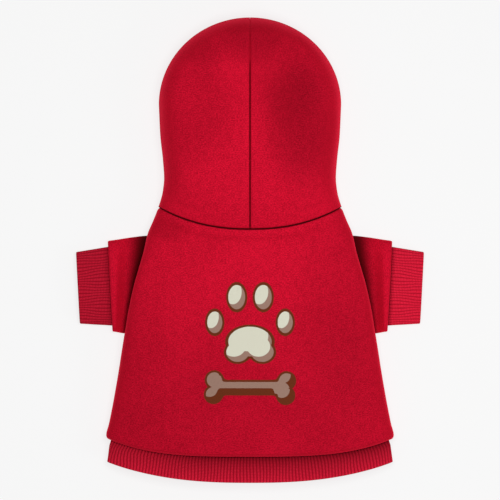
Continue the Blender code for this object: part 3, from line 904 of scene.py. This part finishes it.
rib_pieces = {}
for word, side in (("left", -1), ("right", 1)):
    axis = np.array([side * math.cos(SLEEVE_DROOP), -math.sin(SLEEVE_DROOP), 0.0])
    across, z, _ = sleeve_ring(CUFF_ROOT_HALF_WIDTH,
                               SLEEVE_SECTIONS[-1, 2] * SLEEVE_HEIGHT - LAP_DEPTH,
                               SLEEVE_SECTIONS[-1, 3] * SLEEVE_HEIGHT + LAP_DEPTH)
    root = sleeve_place(np.full(len(across), SLEEVE_REACH), across, z, side)[:-1]
    across, z, _ = sleeve_ring(CUFF_END_HALF_WIDTH, CUFF_END_HEIGHT, 0.0)
    end = sleeve_place(np.full(len(across), SLEEVE_REACH + CUFF_LENGTH), across, z, side)[:-1]
    rib_pieces[word] = rib_tube("cuff_" + word + "_knit",
                                [root - axis * LAP, root + axis * SEAM_GAP, end],
                                [0.0, LAP + SEAM_GAP, LAP + CUFF_LENGTH], CUFF_RIB_PITCH,
                                CUFF_GROOVE, (1, 2), CUFF_FADE, cuff_wave)

# %% [markdown]
# The hem band runs all the way round. On the back it curves lower in the middle, and its lower
# edge is the garment's own. At its left end the ribs lie less straight.

# %% The hem band
BAND_CURVE = 2.5
BAND_END_HEIGHT = 0.90
HEM_RIB_PITCH = 0.0036
HEM_GROOVE = 0.0008
HEM_FADE = 0.0030
BAND_DEPTH = HEM_Y - BAND_Y
BAND_LEFT_END = 0.74
BAND_DIP = 0.0022
BAND_DIP_LENGTH = 0.0075
BAND_DIP_LEFT = 0.3
BAND_WAVES = 10
BAND_WAVE = 0.10
BAND_LEFT_WAVE = 0.35
BAND_LEFT_WIDTH = 0.05
BAND_LEAN = 0.007


def band_wave(rib_share, place):
    """How many ribs' widths the band's ribs wander to the side."""
    left = np.exp(-((rib_share - BAND_LEFT_END) / BAND_LEFT_WIDTH) ** 2)
    phase = rib_share * math.tau * BAND_WAVES + place / BAND_LEAN
    return (BAND_WAVE + BAND_LEFT_WAVE * left) * np.sin(phase)


def band_rings():
    """The band's rings at the hem seam and at its lower edge."""
    ring, _ = body_ring(1.0)
    half = len(ring) // 2
    under = np.abs(np.arange(len(ring)) - half) <= half - FINE
    top = moved_inwards(ring, LAP_DEPTH, (0, 2))
    low_y = edge_y(BAND_Y, BAND_RISE, BAND_CURVE, ring[:, 0] / ring[:, 0].max(), under)
    return top, np.stack([ring[:, 0], low_y, ring[:, 2] * BAND_END_HEIGHT], axis=1)


band_top, band_bottom = band_rings()
dip_share = BAND_DIP_LENGTH / BAND_DEPTH
band_dip_end = moved_inwards(band_top + (band_bottom - band_top) * dip_share,
                             BAND_DIP * BAND_DIP_LEFT, (0, 2))
band_root = moved_inwards(band_top, BAND_DIP, (0, 2))
rib_pieces["hem"] = rib_tube("hem_band_knit",
                             [band_root + np.array([0.0, LAP, 0.0]),
                              band_root - np.array([0.0, SEAM_GAP, 0.0]), band_dip_end,
                              band_bottom],
                             [0.0, LAP + SEAM_GAP, LAP + BAND_DIP_LENGTH, LAP + BAND_DEPTH],
                             HEM_RIB_PITCH, HEM_GROOVE, (0, 2), HEM_FADE, band_wave)

# %% [markdown]
# The materials come from a small helper, which lets us write shader sums the way we write
# ordinary ones: each number in them is a socket of the shader's node tree. One function adds every
# node, with its settings first and then a value or a link for each socket.

# %% Shader sums
def plug(tree, socket, value):
    """Link a socket to a shader value or another socket, or give it a plain value."""
    if isinstance(value, Sum):
        tree.links.new(value.socket, socket)
    elif isinstance(value, bpy.types.NodeSocket):
        tree.links.new(value, socket)
    else:
        socket.default_value = value


def add_node(tree, kind, sockets, **settings):
    node = tree.nodes.new("ShaderNode" + kind)
    for key, value in settings.items():
        setattr(node, key, value)
    for key, value in sockets.items():
        plug(tree, node.inputs[key], value)
    return node


class Sum:
    """A shader value; the usual signs between it and a number or another one add Math nodes."""

    def __init__(self, tree, socket):
        self.tree = tree
        self.socket = socket

    def math(self, kind, *others, clamp=False):
        node = add_node(self.tree, "Math", dict(enumerate((self,) + others)), operation=kind,
                        use_clamp=clamp)
        return Sum(self.tree, node.outputs[0])

    def __add__(self, other):
        return self.math("ADD", other)

    def __sub__(self, other):
        return self.math("SUBTRACT", other)

    def __rsub__(self, other):
        return self * -1.0 + other

    def __mul__(self, other):
        return self.math("MULTIPLY", other)

    def __truediv__(self, other):
        return self.math("DIVIDE", other)

    __radd__ = __add__
    __rmul__ = __mul__

    def step(self, low, high):
        """From 0 at low to 1 at high, smoothly."""
        node = add_node(self.tree, "MapRange", {"Value": self, "From Min": low, "From Max": high},
                        interpolation_type="SMOOTHSTEP")
        return Sum(self.tree, node.outputs[0])


def split_vector(tree, vector):
    """The X, Y and Z of a vector."""
    node = add_node(tree, "SeparateXYZ", {0: vector})
    return [Sum(tree, node.outputs[axis]) for axis in "XYZ"]


def noise_at(tree, place, scale, detail=2.0, stretch=(1.0, 1.0, 1.0), roughness=0.5):
    """Noise from 0 to 1 with waves 1/scale metres long."""
    mapping = add_node(tree, "Mapping", {"Vector": place,
                                         "Scale": [scale * share for share in stretch]})
    texture = add_node(tree, "TexNoise", {"Vector": mapping.outputs["Vector"], "Scale": 1.0,
                                          "Detail": detail, "Roughness": roughness})
    return Sum(tree, texture.outputs["Fac"])


def blend(tree, share, first, second, kind="MIX"):
    """A colour between two colours; each is a socket or three numbers."""
    first, second = ((*colour, 1.0) if isinstance(colour, tuple) else colour
                     for colour in (first, second))
    node = add_node(tree, "Mix", {"Factor": share, 6: first, 7: second}, data_type="RGBA",
                    blend_type=kind)
    return node.outputs[2]


def bump(tree, shader, height, distance):
    node = add_node(tree, "Bump", {"Height": height, "Distance": distance, "Strength": 1.0})
    tree.links.new(node.outputs["Normal"], shader.inputs["Normal"])


# %% [markdown]
# Both kinds of cloth are matt. A little sheen in the cloth's own red stands for the loose fibres
# at the face, and there is hardly any gloss.

# %% A new cloth
CLOTH_GLOSS = 0.04
SHEEN_ROUGHNESS = 0.5
SHEEN_TINT = (1.0, 0.10, 0.14, 1.0)


def new_cloth(name, roughness, sheen):
    """A new material with its tree, its shader and its places on the cloth."""
    cloth = bpy.data.materials.new(name)
    cloth.use_nodes = True
    tree = cloth.node_tree
    shader = tree.nodes["Principled BSDF"]
    for key, value in (("Roughness", roughness), ("Specular IOR Level", CLOTH_GLOSS),
                       ("Sheen Weight", sheen), ("Sheen Roughness", SHEEN_ROUGHNESS),
                       ("Sheen Tint", SHEEN_TINT)):
        shader.inputs[key].default_value = value
    return cloth, tree, shader, add_node(tree, "TexCoord", {}).outputs


# %% [markdown]
# The fleece has a face of short fibres: a heathered red, with darker flecks about a millimetre
# long that follow the knit, and broad, faint clouds. Painted shade darkens it where it slopes,
# and a painted highlight brightens its very rim. More painted shade lies in soft-edged patches
# on the hood and the back, along the seam lines, in the sleeves' crease next to the body and at
# the back's lower end. Each row of those patches is a place, a half width, a half length and a
# depth.

# %% Fleece
FLEECE_LIGHT = (0.790, 0.0064, 0.0350)
FLEECE_DARK = (0.410, 0.0024, 0.0160)
FLEECE_SLOPE_SHADE = (0.440, 0.0022, 0.0150)
FLEECE_RIM_HIGHLIGHT = (0.820, 0.0100, 0.0420)
SEAM_SHADE_COLOUR = (0.070, 0.0005, 0.0020)
SHADE_PATCH_TINT = (0.48, 0.40, 0.44)
FLEECE_ROUGHNESS = 0.92
FLEECE_SHEEN = 0.10
FLECKS = (900.0, 2.0, (0.6, 1.0, 1.0), 0.7)
MOTTLE = (150.0, 3.0)
CLOUDS = (16.0, 2.0)
FIBRES = (1400.0, 2.0, (1.0, 0.6, 1.0), 0.7)
HEATHER = (0.355, 0.645)
SLOPE_SHADE = (0.78, 0.999)
SLOPE_SHADE_DEPTH = 0.5
RIM_HIGHLIGHT = (0.25, 0.80)
FIBRE_HEIGHT = 0.00035
SEAM_SHADE_CORE = 0.4
HOOD_SEAM_SHADE = 0.0011
NECK_SEAM_SHADE = 0.0013
BACK_SEAM_SHADE = 0.0017
SLEEVE_CREASE_SHADE = (0.021, 0.041)
BACK_LOWER_SHADE = (-0.20, -0.04, 0.38)
HOOD_SHADE_PATCHES = (
    (0.0450, 0.1950, 0.0520, 0.0700, 0.42),
    (0.0600, 0.1350, 0.0560, 0.0850, 0.60),
    (-0.0490, 0.2170, 0.0300, 0.0200, 0.30),
    (-0.0600, 0.1500, 0.0500, 0.0700, 0.20),
    (0.0000, 0.2360, 0.0400, 0.0400, 0.50),
)
BACK_SHADE_PATCHES = (
    (0.1000, -0.0600, 0.0600, 0.1300, 0.30),
    (-0.1000, -0.1900, 0.0700, 0.0500, 0.10),
    (-0.0880, 0.0240, 0.0320, 0.0180, 0.30),
)


def press(tree, colour, away, depth):
    """Paint shade: darken a colour by a depth where the share "away" is 0, and leave it where that
    is 1.
    """
    return blend(tree, (1 - away) * depth, colour, SHADE_PATCH_TINT, "MULTIPLY")


def make_fleece(name, seams=(), pressed=(), crease=None, lower=None):
    """Fleece with painted shade on slopes, seam lines, patches, a crease and its lower end, and a
    painted highlight at its rim.
    """
    cloth, tree, shader, place = new_cloth(name, FLEECE_ROUGHNESS, FLEECE_SHEEN)
    flat = place["UV"]
    mottle = noise_at(tree, flat, *MOTTLE)
    shade = noise_at(tree, flat, *FLECKS) * 0.72 + mottle * 0.16
    shade = (shade + noise_at(tree, flat, *CLOUDS) * 0.12).step(*HEATHER)
    face = blend(tree, shade, FLEECE_DARK, FLEECE_LIGHT)
    x, y, _ = split_vector(tree, place["Object"])
    # Soft-edged patches of painted shade.
    for centre_x, centre_y, half_x, half_y, depth in pressed:
        a, b = (x - centre_x) / half_x, (y - centre_y) / half_y
        face = press(tree, face, (a * a + b * b).step(0.0, 1.0), depth)
    across, along, _ = split_vector(tree, flat)
    # Painted shade at the back's lower end.
    if lower:
        face = press(tree, face, along.step(*lower[:2]), lower[2])
    upright = split_vector(tree, place["Normal"])[2]
    # Painted shade: the colour darkens where the cloth slopes.
    deep = blend(tree, upright.step(*SLOPE_SHADE) * SLOPE_SHADE_DEPTH + (1 - SLOPE_SHADE_DEPTH), FLEECE_SLOPE_SHADE, face)
    # Painted highlight at the cloth's steepest rim.
    colour = blend(tree, upright.step(*RIM_HIGHLIGHT), FLEECE_RIM_HIGHLIGHT, deep)
    # Painted shade along the seam lines, where their grooves fall dark.
    for axis, half_width in seams:
        from_seam = (across if axis == "X" else along).math("ABSOLUTE")
        sewn = from_seam.step(half_width * SEAM_SHADE_CORE, half_width)
        colour = blend(tree, sewn, SEAM_SHADE_COLOUR, colour)
    # Painted shade in the sleeve's crease next to the body.
    if crease:
        colour = blend(tree, along.step(*crease), SEAM_SHADE_COLOUR, colour)
    bump(tree, shader, noise_at(tree, flat, *FIBRES) + mottle * 0.4, FIBRE_HEIGHT)
    return cloth, tree, shader, colour


def plain_fleece(name, **marks):
    cloth, tree, shader, colour = make_fleece(name, **marks)
    tree.links.new(colour, shader.inputs["Base Color"])
    return cloth


fleece = plain_fleece("red_fleece")
inside = plain_fleece("red_fleece_inside")
hood_fleece = plain_fleece("red_fleece_hood", pressed=HOOD_SHADE_PATCHES,
                           seams=(("X", HOOD_SEAM_SHADE), ("Y", NECK_SEAM_SHADE)))
sleeve_fleece = plain_fleece("red_fleece_sleeve", crease=SLEEVE_CREASE_SHADE)
print("fleece nodes:", len(fleece.node_tree.nodes), "and on the hood:",
      len(hood_fleece.node_tree.nodes))

# %% [markdown]
# The back carries a printed motif of our own: a paw mark over a bone, each a union of ellipses and
# a bar in flat colours, with a brown outline and a taupe shade along its lower right side. The
# distance to a shape is below zero inside it, so an outline is where that is only just so.

# %% The printed motif
PRINT_CREAM = (0.700, 0.690, 0.560)
PRINT_TAUPE = (0.330, 0.200, 0.155)
PRINT_BROWN = (0.140, 0.030, 0.010)
PRINT_OUTLINE = 0.0021
PRINT_SHADE = 0.0060
PRINT_EDGE = 0.0004
PAW = (
    (0.000, -0.1000, 0.0270, 0.0185),
    (-0.0135, -0.1115, 0.0150, 0.0130),
    (0.0135, -0.1115, 0.0150, 0.0130),
    (-0.0385, -0.0790, 0.0105, 0.0150),
    (-0.0145, -0.0515, 0.0115, 0.0165),
    (0.0145, -0.0515, 0.0115, 0.0165),
    (0.0385, -0.0790, 0.0105, 0.0150),
)
BONE = (
    (-0.0390, -0.1420, 0.0105, 0.0105),
    (-0.0400, -0.1580, 0.0105, 0.0105),
    (0.0400, -0.1430, 0.0105, 0.0105),
    (0.0390, -0.1590, 0.0105, 0.0105),
)
BONE_BAR = (0.0, -0.1505, 0.0380, 0.0085)


def ellipses(x, y, table, soften):
    """The distance to a union of ellipses, given as centre x and y and half sizes."""
    union = None
    for centre_x, centre_y, half_x, half_y in table:
        a, b = (x - centre_x) / half_x, (y - centre_y) / half_y
        distance = ((a * a + b * b).math("SQRT") - 1.0) * min(half_x, half_y)
        union = distance if union is None else union.math("SMOOTH_MIN", distance, soften)
    return union


def bar(x, y, centre_x, centre_y, half_x, half_y):
    """The distance to an upright rectangle."""
    a = (x - centre_x).math("ABSOLUTE") - half_x
    b = (y - centre_y).math("ABSOLUTE") - half_y
    return a.math("MAXIMUM", b)


def paw(x, y):
    return ellipses(x, y, PAW, 0.0012)


def bone(x, y):
    return ellipses(x, y, BONE, 0.0010).math("SMOOTH_MIN", bar(x, y, *BONE_BAR), 0.0060)


def print_shape(tree, under, x, y, shape, fill, shade):
    """Lay one outlined shape over the colours under it."""
    edge = shape(x, y)
    lit = shape(x + PRINT_SHADE * 0.7, y - PRINT_SHADE)
    inner = blend(tree, lit.step(-PRINT_OUTLINE, PRINT_EDGE - PRINT_OUTLINE), fill, shade)
    outlined = blend(tree, edge.step(-PRINT_OUTLINE - PRINT_EDGE, -PRINT_OUTLINE), inner,
                     PRINT_BROWN)
    return blend(tree, edge.step(-PRINT_EDGE, PRINT_EDGE), outlined, under)


printed, tree, shader, colour = make_fleece("red_fleece_printed", pressed=BACK_SHADE_PATCHES,
                                            seams=(("Y", BACK_SEAM_SHADE),), lower=BACK_LOWER_SHADE)
x, y, _ = split_vector(tree, add_node(tree, "TexCoord", {}).outputs["Object"])
colour = print_shape(tree, colour, x, y, bone, PRINT_TAUPE, PRINT_BROWN)
colour = print_shape(tree, colour, x, y, paw, PRINT_CREAM, PRINT_TAUPE)
tree.links.new(colour, shader.inputs["Base Color"])
print("shapes in the print:", len(PAW) + len(BONE) + 1)

# %% [markdown]
# The rib knit is the same yarn in bigger stitches: rows of them across each rib, with painted
# shade down in the grooves. Just below the hem and the sleeves' edges a soft shade is painted,
# weaker towards the left. The right cuff's knit is painted lighter, as painted light, and the
# left one's darker, as painted shade.

# %% Rib knit
RIB_LIGHT = (0.760, 0.0150, 0.0480)
RIB_DARK = (0.520, 0.0070, 0.0260)
RIB_GROOVE_SHADE = (0.380, 0.0046, 0.0190)
RIB_ROUGHNESS = 0.90
RIB_SHEEN = 0.08
RIB_FLECKS = (700.0, 2.0, (1.0, 0.5, 1.0), 0.6)
RIB_CLOUDS = (30.0, 2.0)
STITCH_LENGTH = 0.0017
STITCH_HEIGHT = 0.0004
SHADE_LEFT = (-0.14, -0.04)
SHADE_LEAST = 0.5
SHADE_START = LAP + SEAM_GAP - 0.0010


def lit(colour, light):
    return tuple(light * part for part in colour)


def make_rib_knit(name, pitch, light, groove_shade_end, shade_start, shade_length):
    """Rib knit with a painted brightness, painted shade in its grooves, and a painted shade from a
    place on.
    """
    cloth, tree, shader, place = new_cloth(name, RIB_ROUGHNESS, RIB_SHEEN)
    across, along, _ = split_vector(tree, place["UV"])
    from_ridge = (across * (math.tau / pitch)).math("COSINE") * -0.5 + 0.5
    stitch = (along * (math.tau / STITCH_LENGTH)).math("SINE") * 0.5 + 0.5
    flecks = noise_at(tree, place["UV"], *RIB_FLECKS)
    clouds = noise_at(tree, place["UV"], *RIB_CLOUDS)
    yarn = blend(tree, (flecks * 0.5 + clouds * 0.2 + stitch * 0.3).step(0.30, 0.70),
                 lit(RIB_DARK, light), lit(RIB_LIGHT, light))
    # Painted shade down in the rib grooves.
    colour = blend(tree, from_ridge.step(0.0, groove_shade_end), lit(RIB_GROOVE_SHADE, light), yarn)
    right = split_vector(tree, place["Object"])[0].step(*SHADE_LEFT)
    strength = right * (1 - SHADE_LEAST) + SHADE_LEAST
    away = (along - shade_start).math("DIVIDE", shade_length, clamp=True).math("SQRT")
    colour = blend(tree, 1 - (1 - away) * strength, SEAM_SHADE_COLOUR, colour)
    tree.links.new(colour, shader.inputs["Base Color"])
    bump(tree, shader, flecks * 0.6 + stitch * 0.4, STITCH_HEIGHT)
    return cloth


# Painted shade darkens the left cuff's knit, and painted light brightens the right one's.
left_knit = make_rib_knit("red_cuff_knit", CUFF_RIB_PITCH, 0.79, 0.50, LAP, 0.0060)
right_knit = make_rib_knit("red_cuff_knit_lit", CUFF_RIB_PITCH, 1.10, 0.45, LAP, 0.0050)
hem_knit = make_rib_knit("red_hem_knit", HEM_RIB_PITCH, 1.02, 0.60, SHADE_START, BAND_DEPTH)


# %% [markdown]
# Each piece gets its outside first. The second material is for the faces that its wall added.

# %% Dressing the pieces
def dress(pieces, *materials):
    for piece in pieces:
        for material in materials:
            piece.data.materials.append(material)


dress(hood_pieces.values(), hood_fleece, inside)
dress(sleeve_pieces.values(), sleeve_fleece, inside)
dress([belly_cloth], fleece, inside)
dress([back_cloth], printed, inside)
dress([allowance], inside)
dress([rib_pieces["left"]], left_knit)
dress([rib_pieces["right"]], right_knit)
dress([rib_pieces["hem"]], hem_knit)
print("materials:", len(bpy.data.materials))
